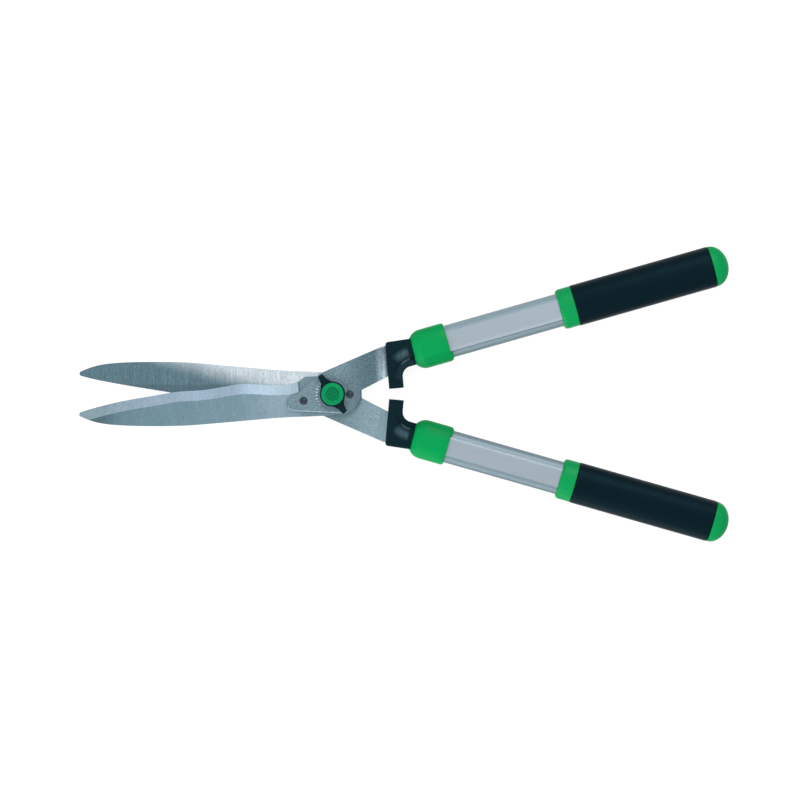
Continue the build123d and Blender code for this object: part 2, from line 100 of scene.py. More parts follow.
room = bpy.data.worlds.new("pale_room")
room.use_nodes = True
bpy.context.scene.world = room
room_level = put(room.node_tree, "ShaderNodeMapRange")
room_level.inputs["To Min"].default_value = ROOM_LIGHT
room_level.inputs["To Max"].default_value = ROOM_SEEN
room.node_tree.links.new(seen_rays(room.node_tree), room_level.inputs["Value"])
room_shade = room.node_tree.nodes["Background"]
room_shade.inputs["Color"].default_value = (1, 1, 1, 1)
room.node_tree.links.new(room_level.outputs["Result"], room_shade.inputs["Strength"])

LAMPS = {
    "soft_box_near": ((-0.9, -1.3, 1.3), (0.9, 0.9), 11.0),
    "soft_box_far": ((0.5, 1.1, 1.6), (0.9, 0.9), 12.0),
    "strip_low": ((-0.8, -1.5, 0.2), (2.2, 0.3), 13.0),
}
for lamp_name, (place, panel, watts) in LAMPS.items():
    lamp_data = bpy.data.lights.new(lamp_name, "AREA")
    lamp_data.shape = "RECTANGLE"
    lamp_data.size, lamp_data.size_y = panel
    lamp_data.energy = watts
    lamp = bpy.data.objects.new(lamp_name, lamp_data)
    lamp.location = place
    lamp.rotation_euler = (-Vector(place)).to_track_quat("-Z", "Y").to_euler()
    bpy.context.scene.collection.objects.link(lamp)

TABLE_SIDE = 6.0
TABLE_GAP = 0.0003
TABLE_TONE = 0.32
TABLE_LIFT = 0.88

reach = TABLE_SIDE / 2
corners = ((-reach, -reach), (reach, -reach), (reach, reach), (-reach, reach))
table_mesh = bpy.data.meshes.new("table_top")
table_mesh.from_pydata([(x, y, cad_low.z - TABLE_GAP) for x, y in corners], [], [(0, 1, 2, 3)])
table_top = bpy.data.objects.new("table_top", table_mesh)
bpy.context.scene.collection.objects.link(table_top)
table_paint = bpy.data.materials.new("white_table")
table_paint.use_nodes = True
tree = table_paint.node_tree
shader = tree.nodes["Principled BSDF"]
shader.inputs["Base Color"].default_value = (TABLE_TONE, TABLE_TONE, TABLE_TONE, 1)
shader.inputs["Roughness"].default_value = 0.9
shader.inputs["Specular IOR Level"].default_value = 0.1
shader.inputs["Emission Color"].default_value = (1, 1, 1, 1)
lift = put(tree, "ShaderNodeMath", operation="MULTIPLY")
lift.inputs[1].default_value = TABLE_LIFT
tree.links.new(seen_rays(tree), lift.inputs[0])
tree.links.new(lift.outputs[0], shader.inputs["Emission Strength"])
table_mesh.materials.append(table_paint)


# -------------------------------------------------------------------- blades
# Two spring-steel blades, ground flat on the shear side and bevelled on the outer side,
# the front one in waves, out to a step at the heel. The stones leave fine marks across
# each blade. Their face and bevel colours pass from dark towards the tip to bright towards
# the pivot, a painted reflection of the room. The foot of the heel step, and a strip of
# the rear blade along the front blade's edge, are painted darker as their shadows.
ARM_TURN = math.radians(5)
# A narrow line at the foot of the heel step is painted dark as its shadow.
HEEL_STEP = -0.0298
HEEL_LINE = (0.0010, 0.0003)
HEEL_FADE = 0.002
HEEL_SHADOW = -0.7
# Painted shadow of the front blade on a strip of the rear blade along its edge.
CAST_SHADOW_FADE = 0.002
CAST_SHADOW_SHADE = -0.2
WANDER = 0.03
WANDER_PER_METRE = 45.0
FACE_TILT = (0.965, 0.985)
GROUND_ROUGHNESS = (0.2, 0.26)
GRIND_DEPTH = 0.00002


def paint(red, green, blue):
    """A colour given as 0 to 255 on screen, as the linear values a shader takes."""
    linear = []
    for part in (red, green, blue):
        value = part / 255
        linear.append(value / 12.92 if value <= 0.04045 else ((value + 0.055) / 1.055) ** 2.4)
    return (*linear, 1.0)


def new_group(name, inputs, outputs, kind_of_tree="ShaderNodeTree"):
    """A node group with named inputs, each with its usual value, and named outputs."""
    group = bpy.data.node_groups.new(name, kind_of_tree)
    for socket_name, kind, value in inputs:
        socket = group.interface.new_socket(socket_name, in_out="INPUT", socket_type=kind)
        if value is not None:
            socket.default_value = value
    for socket_name, kind in outputs:
        group.interface.new_socket(socket_name, in_out="OUTPUT", socket_type=kind)
    return group, put(group, "NodeGroupInput"), put(group, "NodeGroupOutput")


def math_node(tree, operation, first, second=None, third=None):
    """A Math node whose inputs are sockets or numbers; returns its output socket."""
    node = put(tree, "ShaderNodeMath", operation=operation)
    for index, value in enumerate((first, second, third)):
        if value is None:
            continue
        if isinstance(value, (int, float)):
            node.inputs[index].default_value = value
        else:
            tree.links.new(value, node.inputs[index])
    return node.outputs[0]


def drawn_marks_group():
    """Marks drawn out along one direction: grinding or drawing lines, or scuffs."""
    group, given, result = new_group(
        "drawn_marks",
        [
            ("Vector", "NodeSocketVector", None),
            ("Across per metre", "NodeSocketFloat", 900.0),
            ("Along per metre", "NodeSocketFloat", 30.0),
            ("Turn", "NodeSocketFloat", 0.0),
            ("Contrast", "NodeSocketFloat", 0.3),
        ],
        [("Tone", "NodeSocketFloat"), ("Height", "NodeSocketFloat")],
    )
    turn = put(group, "ShaderNodeVectorRotate", rotation_type="Z_AXIS")
    group.links.new(given.outputs["Vector"], turn.inputs["Vector"])
    group.links.new(given.outputs["Turn"], turn.inputs["Angle"])
    spread = put(group, "ShaderNodeCombineXYZ")
    group.links.new(given.outputs["Across per metre"], spread.inputs["X"])
    group.links.new(given.outputs["Along per metre"], spread.inputs["Y"])
    group.links.new(given.outputs["Along per metre"], spread.inputs["Z"])
    scaled = put(group, "ShaderNodeVectorMath", operation="MULTIPLY")
    group.links.new(turn.outputs["Vector"], scaled.inputs[0])
    group.links.new(spread.outputs["Vector"], scaled.inputs[1])
    marks = put(group, "ShaderNodeTexNoise")
    marks.inputs["Scale"].default_value = 1.0
    marks.inputs["Detail"].default_value = 4.0
    marks.inputs["Roughness"].default_value = 0.65
    group.links.new(scaled.outputs["Vector"], marks.inputs["Vector"])
    centred = math_node(group, "SUBTRACT", marks.outputs["Fac"], 0.5)
    swing = math_node(group, "MULTIPLY", centred, given.outputs["Contrast"])
    tone = math_node(group, "ADD", swing, 1.0)
    group.links.new(tone, result.inputs["Tone"])
    group.links.new(marks.outputs["Fac"], result.inputs["Height"])
    return group


drawn_marks = drawn_marks_group()


def use_group(tree, group, vector, **values):
    """Places a node group in a material and sets its inputs by name."""
    node = put(tree, "ShaderNodeGroup", node_tree=group)
    tree.links.new(vector, node.inputs["Vector"])
    for name, value in values.items():
        node.inputs[name.replace("_", " ")].default_value = value
    return node


def new_material(name, metallic=0.0, roughness=0.5, specular=0.5, edge=0.0004):
    """A material with a Principled shader, softened edges and Object coordinates."""
    material = bpy.data.materials.new(name)
    material.use_nodes = True
    tree = material.node_tree
    shader = tree.nodes["Principled BSDF"]
    shader.inputs["Metallic"].default_value = metallic
    shader.inputs["Roughness"].default_value = roughness
    shader.inputs["Specular IOR Level"].default_value = specular
    softened = put(tree, "ShaderNodeBevel", samples=6)
    softened.inputs["Radius"].default_value = edge
    tree.links.new(softened.outputs["Normal"], shader.inputs["Normal"])
    coordinates = put(tree, "ShaderNodeTexCoord")
    return material, tree, shader, coordinates


def shade_between(tree, factor, dark, light):
    """Mixes two colours by a factor socket; returns the colour socket."""
    mix = put(tree, "ShaderNodeMix", data_type="RGBA")
    for socket, value in (("A", dark), ("B", light)):
        target = next(s for s in mix.inputs if s.name == socket and s.type == "RGBA")
        if isinstance(value, tuple):
            target.default_value = value
        else:
            tree.links.new(value, target)
    tree.links.new(factor, mix.inputs[0])
    return next(s for s in mix.outputs if s.type == "RGBA")


def toned(tree, colour, tone):
    """A colour made lighter or darker by a tone around 1."""
    scale = put(tree, "ShaderNodeVectorMath", operation="SCALE")
    if isinstance(colour, tuple):
        scale.inputs[0].default_value = colour[:3]
    else:
        tree.links.new(colour, scale.inputs[0])
    tree.links.new(tone, scale.inputs["Scale"])
    return scale.outputs["Vector"]


def bump(tree, shader, height, distance):
    """Bump over a shader's softened edges, from a height socket, over a distance in metres."""
    node = put(tree, "ShaderNodeBump")
    node.inputs["Strength"].default_value = 1.0
    node.inputs["Distance"].default_value = distance
    tree.links.new(height, node.inputs["Height"])
    tree.links.new(shader.inputs["Normal"].links[0].from_socket, node.inputs["Normal"])
    tree.links.new(node.outputs["Normal"], shader.inputs["Normal"])


def ramp(tree, value, low, high):
    """0 up to one value of a socket and 1 from the other on, smooth between."""
    node = put(tree, "ShaderNodeMapRange", interpolation_type="SMOOTHSTEP")
    tree.links.new(value, node.inputs["Value"])
    node.inputs["From Min"].default_value = low
    node.inputs["From Max"].default_value = high
    return node.outputs["Result"]


def heel_step_shadow(tree, place, side):
    """1 on the narrow line at the foot of the heel step, painted dark as its shadow, 0 elsewhere.
    """
    across = math_node(tree, "MULTIPLY", place.outputs["Y"], side)
    along = math_node(tree, "MULTIPLY_ADD", across, math.tan(ARM_TURN), place.outputs["X"])
    off = math_node(tree, "ABSOLUTE", math_node(tree, "SUBTRACT", along, HEEL_STEP))
    heel_shadow = ramp(tree, off, *HEEL_LINE)
    return math_node(tree, "MULTIPLY", heel_shadow, ramp(tree, across, 0.0, HEEL_FADE))


def blade_steel(name, side, stops, slant, grinding, cast_shadow_below=-1.0):
    """Ground steel: face and bevel colours, a painted reflection, pass from stop to stop along a
    slanted line.

    The strip next to the edge, below one line along the blade, is painted a shade duller as a
    shadow, and the line at the foot of the heel step is painted dark as its shadow."""
    material, tree, shader, coordinates = new_material(name, metallic=0.9, edge=0.0002)
    place = put(tree, "ShaderNodeSeparateXYZ")
    tree.links.new(coordinates.outputs["Object"], place.inputs[0])
    slanted = math_node(tree, "MULTIPLY_ADD", place.outputs["Y"], slant, place.outputs["X"])
    wander = put(tree, "ShaderNodeTexNoise")
    wander.inputs["Scale"].default_value = WANDER_PER_METRE
    tree.links.new(coordinates.outputs["Object"], wander.inputs["Vector"])
    centred = math_node(tree, "SUBTRACT", wander.outputs["Fac"], 0.5)
    wandering = math_node(tree, "MULTIPLY_ADD", centred, WANDER, slanted)
    start, face, bevel = stops[0]
    for station, next_face, next_bevel in stops[1:]:
        along = ramp(tree, wandering, start, station)
        face = shade_between(tree, along, face, next_face)
        bevel = shade_between(tree, along, bevel, next_bevel)
        start = station
    facing = put(tree, "ShaderNodeSeparateXYZ")
    tree.links.new(coordinates.outputs["Normal"], facing.inputs[0])
    upright = math_node(tree, "ABSOLUTE", facing.outputs["Z"])
    flatness = ramp(tree, upright, *FACE_TILT)
    colour = shade_between(tree, flatness, bevel, face)
    tone = None
    heights = []
    for across, lengthwise, contrast in grinding:
        marks = use_group(
            tree, drawn_marks, coordinates.outputs["Object"],
            Across_per_metre=across, Along_per_metre=lengthwise, Contrast=contrast,
        )
        heights.append(marks.outputs["Height"])
        if tone is None:
            tone = marks.outputs["Tone"]
        else:
            tone = math_node(tree, "MULTIPLY", tone, marks.outputs["Tone"])
    strip = ramp(tree, place.outputs["Y"], cast_shadow_below, cast_shadow_below - CAST_SHADOW_FADE)
    heel_shadow = heel_step_shadow(tree, place, side)
    for mask, shade in ((strip, CAST_SHADOW_SHADE), (heel_shadow, HEEL_SHADOW)):
        share = math_node(tree, "MULTIPLY_ADD", mask, shade, 1.0)
        tone = math_node(tree, "MULTIPLY", tone, share)
    tree.links.new(toned(tree, colour, tone), shader.inputs["Base Color"])
    rough = math_node(tree, "MULTIPLY_ADD", heights[0], *GROUND_ROUGHNESS)
    tree.links.new(rough, shader.inputs["Roughness"])
    bump(tree, shader, heights[0], GRIND_DEPTH)
    return material


def wear(nodes, material):
    """Gives CAD nodes a material in place of the one they were packed with."""
    for name in nodes:
        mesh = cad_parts[name].data
        mesh.materials.clear()
        mesh.materials.append(material)


# The stops paint the room's reflection along the blade: dark towards the tip, bright towards the
# pivot.
front_steel = blade_steel(
    "front_blade_steel",
    side=1,
    stops=(
        (-0.215, paint(84, 107, 117), paint(132, 156, 165)),
        (-0.170, paint(109, 138, 150), paint(142, 161, 177)),
        (-0.090, paint(117, 145, 157), paint(140, 160, 177)),
        (-0.045, paint(138, 160, 173), paint(144, 162, 175)),
        (-0.028, paint(112, 137, 148), paint(156, 175, 187)),
    ),
    slant=0.0,
    grinding=((1300.0, 420.0, 0.7), (700.0, 60.0, 0.3), (60.0, 25.0, 0.2)),
)
wear(["front_blade"], front_steel)
# The rear blade's stops are a painted reflection too, brightening on a slant towards the pivot.
rear_steel = blade_steel(
    "rear_blade_steel",
    side=-1,
    stops=(
        (-0.080, paint(92, 119, 130), paint(133, 157, 168)),
        (-0.002, paint(196, 207, 214), paint(150, 166, 181)),
    ),
    slant=3.4,
    grinding=((1150.0, 300.0, 1.1), (1000.0, 40.0, 1.0), (560.0, 40.0, 0.3)),
    # the rear blade's strip beside the front blade's edge is painted darker as that blade's shadow
    cast_shadow_below=0.0095,
)
wear(["rear_blade"], rear_steel)


# --------------------------------------------------------------------- tangs
# Each blade is riveted to a stamped and joggled steel tang, tumbled to a grey satin,
# which runs on inside the handle. Notches pressed in the front tang hold the knob where
# it is set, and each has a burr along one side; the burrs at the left of the ring are
# painted bright as a highlight. Each tang's colour is painted darker and lighter about
# its joggle, as painted shade and painted reflection of the lamps.
SATIN_GRAIN = 700.0
SATIN_SWING = 0.15
SATIN_BELOW = 0.07


def fine_skin_group():
    """Even skin of a moulded, plated or tumbled surface: fine grain over slow mottling."""
    group, given, result = new_group(
        "fine_skin",
        [
            ("Vector", "NodeSocketVector", None),
            ("Grain per metre", "NodeSocketFloat", 1500.0),
            ("Mottle per metre", "NodeSocketFloat", 45.0),
            ("Grain contrast", "NodeSocketFloat", 0.1),
            ("Mottle contrast", "NodeSocketFloat", 0.1),
        ],
        [("Tone", "NodeSocketFloat"), ("Height", "NodeSocketFloat"), ("Mottle", "NodeSocketFloat")],
    )
    total = None
    for scale_name, contrast_name in (
        ("Grain per metre", "Grain contrast"),
        ("Mottle per metre", "Mottle contrast"),
    ):
        noise = put(group, "ShaderNodeTexNoise")
        noise.inputs["Detail"].default_value = 3.0
        group.links.new(given.outputs["Vector"], noise.inputs["Vector"])
        group.links.new(given.outputs[scale_name], noise.inputs["Scale"])
        centred = math_node(group, "SUBTRACT", noise.outputs["Fac"], 0.5)
        swing = math_node(group, "MULTIPLY", centred, given.outputs[contrast_name])
        if total is None:
            total = math_node(group, "ADD", swing, 1.0)
            group.links.new(noise.outputs["Fac"], result.inputs["Height"])
        else:
            total = math_node(group, "ADD", swing, total)
            group.links.new(noise.outputs["Fac"], result.inputs["Mottle"])
    group.links.new(total, result.inputs["Tone"])
    return group


fine_skin = fine_skin_group()


def satin_metal(name, stops, roughness, metallic=0.9, grain=0.25, mottle=0.2, depth=0.00002):
    """Tumbled or plated metal with an even grain; its colour passes from stop to stop along X."""
    material, tree, shader, coordinates = new_material(name, metallic=metallic, specular=0.2)
    place = put(tree, "ShaderNodeSeparateXYZ")
    tree.links.new(coordinates.outputs["Object"], place.inputs[0])
    start, colour = stops[0]
    for station, shade in stops[1:]:
        colour = shade_between(tree, ramp(tree, place.outputs["X"], start, station), colour, shade)
        start = station
    skin = use_group(
        tree, fine_skin, coordinates.outputs["Object"],
        Grain_per_metre=SATIN_GRAIN, Grain_contrast=grain, Mottle_contrast=mottle,
    )
    tree.links.new(toned(tree, colour, skin.outputs["Tone"]), shader.inputs["Base Color"])
    lowest = roughness - SATIN_BELOW
    rough = math_node(tree, "MULTIPLY_ADD", skin.outputs["Mottle"], SATIN_SWING, lowest)
    tree.links.new(rough, shader.inputs["Roughness"])
    bump(tree, shader, skin.outputs["Height"], depth)
    return material


# Along X the front tang is painted darker before its joggle and bright over it, painted shade and
# painted reflection of the lamps, brightest next to the bumper where its shadow falls.
front_tang_steel = satin_metal(
    "front_tang_steel",
    (
        (0.0, paint(119, 143, 153)),
        (0.034, paint(88, 113, 123)),
        (0.0375, paint(88, 113, 123)),
        (0.0440, paint(146, 167, 177)),
        (0.0468, paint(204, 231, 242)),
    ),
    roughness=0.42, metallic=0.55, grain=1.5,
)
# The rear tang is painted lighter towards its joggle, which faces the near lamp: painted light.
rear_tang_steel = satin_metal(
    "rear_tang_steel",
    ((0.0, paint(116, 140, 150)), (0.045, paint(138, 164, 174))),
    roughness=0.42, metallic=0.55, grain=1.0,
)
wear(["front_tang"], front_tang_steel)
wear(["rear_tang"], rear_tang_steel)

NOTCH_COUNT = 32
NOTCH_RING = 0.0143
BURR_SIZE = (0.0022, 0.0009, 0.0003)
RIVET_FLARE = 0.0046
RIVET_ROOM = 0.0048
CREASE_ANGLE = math.radians(38)


def grow(tree, target, values):
    """The plain mesh that a Geometry Nodes tree grows, with its named inputs set."""
    data = bpy.data.meshes.new(target)
    carrier = bpy.data.objects.new(target, data)
    bpy.context.scene.collection.objects.link(carrier)
    modifier = carrier.modifiers.new("grown", "NODES")
    modifier.node_group = tree
    for socket in tree.interface.items_tree:
        if socket.in_out == "INPUT" and socket.name in values:
            modifier[socket.identifier] = values[socket.name]
    shown = carrier.evaluated_get(bpy.context.evaluated_depsgraph_get())
    grown = bpy.data.meshes.new_from_object(shown)
    bpy.data.objects.remove(carrier)
    grown.name = target
    return grown


def join_ends(tree, geometry, result, material_socket):
    """Closes a tree: its instances are made real and given their material."""
    real = put(tree, "GeometryNodeRealizeInstances")
    finish = put(tree, "GeometryNodeSetMaterial")
    tree.links.new(geometry, real.inputs["Geometry"])
    tree.links.new(real.outputs["Geometry"], finish.inputs["Geometry"])
    tree.links.new(material_socket, finish.inputs["Material"])
    tree.links.new(finish.outputs["Geometry"], result.inputs["Geometry"])


def settle(name, data, body, nodes=()):
    """Puts a finished mesh in the scene on its body, standing for its CAD nodes."""
    data.shade_smooth()
    data.set_sharp_from_angle(angle=CREASE_ANGLE)
    piece = bpy.data.objects.new(name, data)
    bpy.context.scene.collection.objects.link(piece)
    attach(piece, body)
    if nodes:
        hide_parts(*nodes)
    return piece


def burr_ring_tree():
    """Burrs round a ring of notches, left out near the rivet."""
    tree, given, result = new_group(
        "burr_ring",
        [
            ("Count", "NodeSocketInt", NOTCH_COUNT),
            ("Ring radius", "NodeSocketFloat", NOTCH_RING),
            ("Turn", "NodeSocketFloat", ARM_TURN),
            ("Face height", "NodeSocketFloat", 0.0),
            ("Size", "NodeSocketVector", BURR_SIZE),
            ("Rivet", "NodeSocketVector", (0, 0, 0)),
            ("Rivet room", "NodeSocketFloat", RIVET_ROOM),
            ("Material", "NodeSocketMaterial", None),
        ],
        [("Geometry", "NodeSocketGeometry")],
        "GeometryNodeTree",
    )
    ring = put(tree, "GeometryNodeMeshCircle")
    tree.links.new(given.outputs["Count"], ring.inputs["Vertices"])
    tree.links.new(given.outputs["Ring radius"], ring.inputs["Radius"])
    turned = put(tree, "GeometryNodeTransform")
    tree.links.new(ring.outputs["Mesh"], turned.inputs["Geometry"])
    turn = put(tree, "ShaderNodeCombineXYZ")
    tree.links.new(given.outputs["Turn"], turn.inputs["Z"])
    tree.links.new(turn.outputs["Vector"], turned.inputs["Rotation"])
    height = put(tree, "ShaderNodeCombineXYZ")
    tree.links.new(given.outputs["Face height"], height.inputs["Z"])
    tree.links.new(height.outputs["Vector"], turned.inputs["Translation"])
    spot = put(tree, "GeometryNodeInputPosition")
    reach = put(tree, "ShaderNodeVectorMath", operation="DISTANCE")
    tree.links.new(spot.outputs["Position"], reach.inputs[0])
    tree.links.new(given.outputs["Rivet"], reach.inputs[1])
    clear = put(tree, "FunctionNodeCompare", operation="GREATER_THAN", data_type="FLOAT")
    tree.links.new(reach.outputs["Value"], clear.inputs["A"])
    tree.links.new(given.outputs["Rivet room"], clear.inputs["B"])
    apart = put(tree, "ShaderNodeSeparateXYZ")
    tree.links.new(spot.outputs["Position"], apart.inputs["Vector"])
    bearing = math_node(tree, "ARCTAN2", apart.outputs["Y"], apart.outputs["X"])
    facing = put(tree, "ShaderNodeCombineXYZ")
    tree.links.new(bearing, facing.inputs["Z"])
    pip = put(tree, "GeometryNodeMeshUVSphere")
    pip.inputs["Segments"].default_value = 12
    pip.inputs["Rings"].default_value = 6
    pip.inputs["Radius"].default_value = 0.5
    laid = put(tree, "GeometryNodeInstanceOnPoints")
    tree.links.new(turned.outputs["Geometry"], laid.inputs["Points"])
    tree.links.new(clear.outputs["Result"], laid.inputs["Selection"])
    tree.links.new(pip.outputs["Mesh"], laid.inputs["Instance"])
    tree.links.new(facing.outputs["Vector"], laid.inputs["Rotation"])
    tree.links.new(given.outputs["Size"], laid.inputs["Scale"])
    join_ends(tree, laid.outputs["Instances"], result, given.outputs["Material"])
    return tree


tang_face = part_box("front_tang")[1].z
rivets_low, rivets_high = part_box("front_rivets")
# The burrs are painted bright at the left of the ring, where they face the lamps, fading to the
# tang's grey: a painted highlight.
burr_glint_steel = satin_metal(
    "burr_glint_steel",
    ((-0.0125, paint(214, 232, 238)), (-0.009, paint(122, 148, 157))),
    roughness=0.3,
)
burrs = grow(
    burr_ring_tree(),
    "notch_burrs",
    {
        "Face height": tang_face,
        "Rivet": (rivets_high.x - RIVET_FLARE, rivets_high.y - RIVET_FLARE, tang_face),
        "Material": burr_glint_steel,
    },
)
settle("notch_burrs", burrs, "front_arm")


# -------------------------------------------------------------------- rivets
# Four steel rivets, oxide black, whose flared ends lie flush in the shear faces. Their
# heads are upset over the tangs: height and radius of each ring, from rim to crown.
RIVET_HEAD = (
    (-0.0002, 0.00355),
    (0.0002, 0.00355),
    (0.00038, 0.00335),
    (0.0004, 0.0029),
    (0.00022, 0.00265),
    (0.00024, 0.0024),
    (0.00044, 0.0021),
    (0.00054, 0.0012),
    (0.00056, 0.0),
)


def straight(across):
    """No slide: a ring that lies square to the axis."""
    return 0.0


def oval_loft(rings, squareness=2.0, steps=96):
    """A closed skin through oval rings along X: station, half width, half thickness, slide."""
    mesh = bmesh.new()
    previous = None
    for station, half_width, half_thickness, slide in rings:
        ring = []
        for step in range(steps):
            angle = 2 * math.pi * step / steps
            side, rise = math.cos(angle), math.sin(angle)
            y = half_width * math.copysign(abs(side) ** (2 / squareness), side)
            z = half_thickness * math.copysign(abs(rise) ** (2 / squareness), rise)
            ring.append(mesh.verts.new((station + slide(y), y, z)))
        if previous is None:
            mesh.faces.new(ring)
        else:
            for step in range(steps):
                after = (step + 1) % steps
                mesh.faces.new((previous[step], previous[after], ring[after], ring[step]))
        previous = ring
    mesh.faces.new(previous)
    bmesh.ops.remove_doubles(mesh, verts=mesh.verts, dist=0.000001)
    bmesh.ops.recalc_face_normals(mesh, faces=mesh.faces)
    return mesh


def cast(name, mesh, seat, material):
    """A mesh datablock from a finished skin, moved to its seat and given its material."""
    mesh.transform(seat)
    data = bpy.data.meshes.new(name)
    mesh.to_mesh(data)
    mesh.free()
    data.materials.append(material)
    return data


def rivet_row_tree():
    """Rivet heads at both ends of a line, turned to face out of their arm."""
    tree, given, result = new_group(
        "rivet_row",
        [
            ("First", "NodeSocketVector", (0, 0, 0)),
            ("Last", "NodeSocketVector", (0, 0, 0)),
            ("Count", "NodeSocketInt", 2),
            ("Facing", "NodeSocketVector", (0, 0, 0)),
            ("Head", "NodeSocketObject", None),
            ("Material", "NodeSocketMaterial", None),
        ],
        [("Geometry", "NodeSocketGeometry")],
        "GeometryNodeTree",
    )
    row = put(tree, "GeometryNodeMeshLine", mode="END_POINTS")
    tree.links.new(given.outputs["Count"], row.inputs["Count"])
    tree.links.new(given.outputs["First"], row.inputs["Start Location"])
    tree.links.new(given.outputs["Last"], row.inputs["Offset"])
    head = put(tree, "GeometryNodeObjectInfo")
    tree.links.new(given.outputs["Head"], head.inputs["Object"])
    laid = put(tree, "GeometryNodeInstanceOnPoints")
    tree.links.new(row.outputs["Mesh"], laid.inputs["Points"])
    tree.links.new(head.outputs["Geometry"], laid.inputs["Instance"])
    tree.links.new(given.outputs["Facing"], laid.inputs["Rotation"])
    join_ends(tree, laid.outputs["Instances"], result, given.outputs["Material"])
    return tree


rivet_black = satin_metal(
    "rivet_black", ((0.0, paint(56, 66, 72)),), roughness=0.45, grain=0.8
)
wear(["front_rivets", "rear_rivets"], rivet_black)
head_mesh = oval_loft([(z, r, r, straight) for z, r in RIVET_HEAD], steps=40)
on_end = Matrix.Rotation(math.radians(-90), 4, "Y")
head = bpy.data.objects.new("rivet_head", cast("rivet_head", head_mesh, on_end, rivet_black))
bpy.context.scene.collection.objects.link(head)
rivet_row = rivet_row_tree()
for arm, side in (("front", 1), ("rear", -1)):
    low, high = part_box(f"{arm}_rivets")
    face = side * tang_face
    heads = grow(
        rivet_row,
        f"{arm}_rivet_heads",
        {
            "First": (low.x + RIVET_FLARE, side * (rivets_low.y + RIVET_FLARE), face),
            "Last": (high.x - RIVET_FLARE, side * (rivets_high.y - RIVET_FLARE), face),
            "Facing": (0 if side > 0 else math.pi, 0, 0),
            "Head": head,
            "Material": rivet_black,
        },
    )
    settle(f"{arm}_rivet_heads", heads, f"{arm}_arm")
bpy.data.objects.remove(head)


# --------------------------------------------------------------- pivot bolt
# Zinc-plated bolt with its washer behind, the nut in the knob and a spring washer under it.
wear(
    ["pivot_bolt", "bolt_washer", "spring_washer", "knob_nut"],
    satin_metal("zinc_plate", ((0.0, paint(173, 178, 179)),), roughness=0.3, grain=0.12),
)


# -------------------------------------------------------------- tension knob
# Black nylon knob with two finger wings, clicked round by hand to set the blades'
# tension. The green disc snapped into its top is moulded with plain ribs for the thumb.
COOL_GLOSS = (0.3, 0.75, 1.0, 1.0)
MOULD_GRAIN = 2600.0
MOULD_SWING = 0.12
MOULD_BELOW = 0.06


def moulded(name, colour, roughness, specular, edge=0.0006, depth=0.00003, sink=0.0, tint=None):
    """Moulded plastic or rubber: fine spark-eroded skin over slow sink marks."""
    material, tree, shader, coordinates = new_material(name, specular=specular, edge=edge)
    if tint:
        shader.inputs["Specular Tint"].default_value = tint
    skin = use_group(
        tree, fine_skin, coordinates.outputs["Object"],
        Grain_per_metre=MOULD_GRAIN, Grain_contrast=0.1, Mottle_contrast=0.08,
    )
    tree.links.new(toned(tree, colour, skin.outputs["Tone"]), shader.inputs["Base Color"])
    lowest = roughness - MOULD_BELOW
    rough = math_node(tree, "MULTIPLY_ADD", skin.outputs["Mottle"], MOULD_SWING, lowest)
    tree.links.new(rough, shader.inputs["Roughness"])
    if sink:
        bump(tree, shader, skin.outputs["Mottle"], sink)
    bump(tree, shader, skin.outputs["Height"], depth)
    return material


black_nylon = moulded(
    "black_nylon", paint(16, 33, 39), roughness=0.32, specular=0.13, tint=COOL_GLOSS
)
wear(["tension_knob"], black_nylon)

CAP_RIM = 0.0007
CAP_RIM_EASE = 0.00021
CAP_DISH_START = 0.00182
CAP_DISH = 0.00036
CAP_SWELL = 0.00024
CAP_CROWN = 0.00018
RIB_PITCH = 0.0021
RIB_EASE = 0.5
RIB_DEPTH = 0.0003
RIB_FIELD = 0.0066
RIB_FIELD_EDGE = 0.0006
RIB_SLANT = math.radians(35)


def ribbed_green():
    """Cap green with slanting thumb ribs inside a plain rim, painted darker in the hollows between
    the ribs as their shade.
    """
    material, tree, shader, coordinates = new_material("cap_green", roughness=0.34, specular=0.08)
    slanted = put(tree, "ShaderNodeVectorRotate", rotation_type="Z_AXIS")
    slanted.inputs["Angle"].default_value = RIB_SLANT
    tree.links.new(coordinates.outputs["Object"], slanted.inputs["Vector"])
    place = put(tree, "ShaderNodeSeparateXYZ")
    tree.links.new(slanted.outputs["Vector"], place.inputs[0])
    phase = math_node(tree, "MULTIPLY", place.outputs["X"], 2 * math.pi / RIB_PITCH)
    rib = ramp(tree, math_node(tree, "SINE", phase), -RIB_EASE, RIB_EASE)
    flat = put(tree, "ShaderNodeVectorMath", operation="MULTIPLY")
    flat.inputs[1].default_value = (1, 1, 0)
    tree.links.new(coordinates.outputs["Object"], flat.inputs[0])
    away = put(tree, "ShaderNodeVectorMath", operation="LENGTH")
    tree.links.new(flat.outputs["Vector"], away.inputs[0])
    field = ramp(tree, away.outputs["Value"], RIB_FIELD, RIB_FIELD - RIB_FIELD_EDGE)
    raised = math_node(tree, "MAXIMUM", rib, math_node(tree, "SUBTRACT", 1.0, field))
    skin = use_group(
        tree, fine_skin, coordinates.outputs["Object"],
        Grain_per_metre=2200.0, Grain_contrast=0.15, Mottle_contrast=0.1,
    )
    colour = shade_between(tree, raised, paint(4, 92, 58), paint(8, 156, 96))
    tree.links.new(toned(tree, colour, skin.outputs["Tone"]), shader.inputs["Base Color"])
    bump(tree, shader, raised, RIB_DEPTH)
    return material


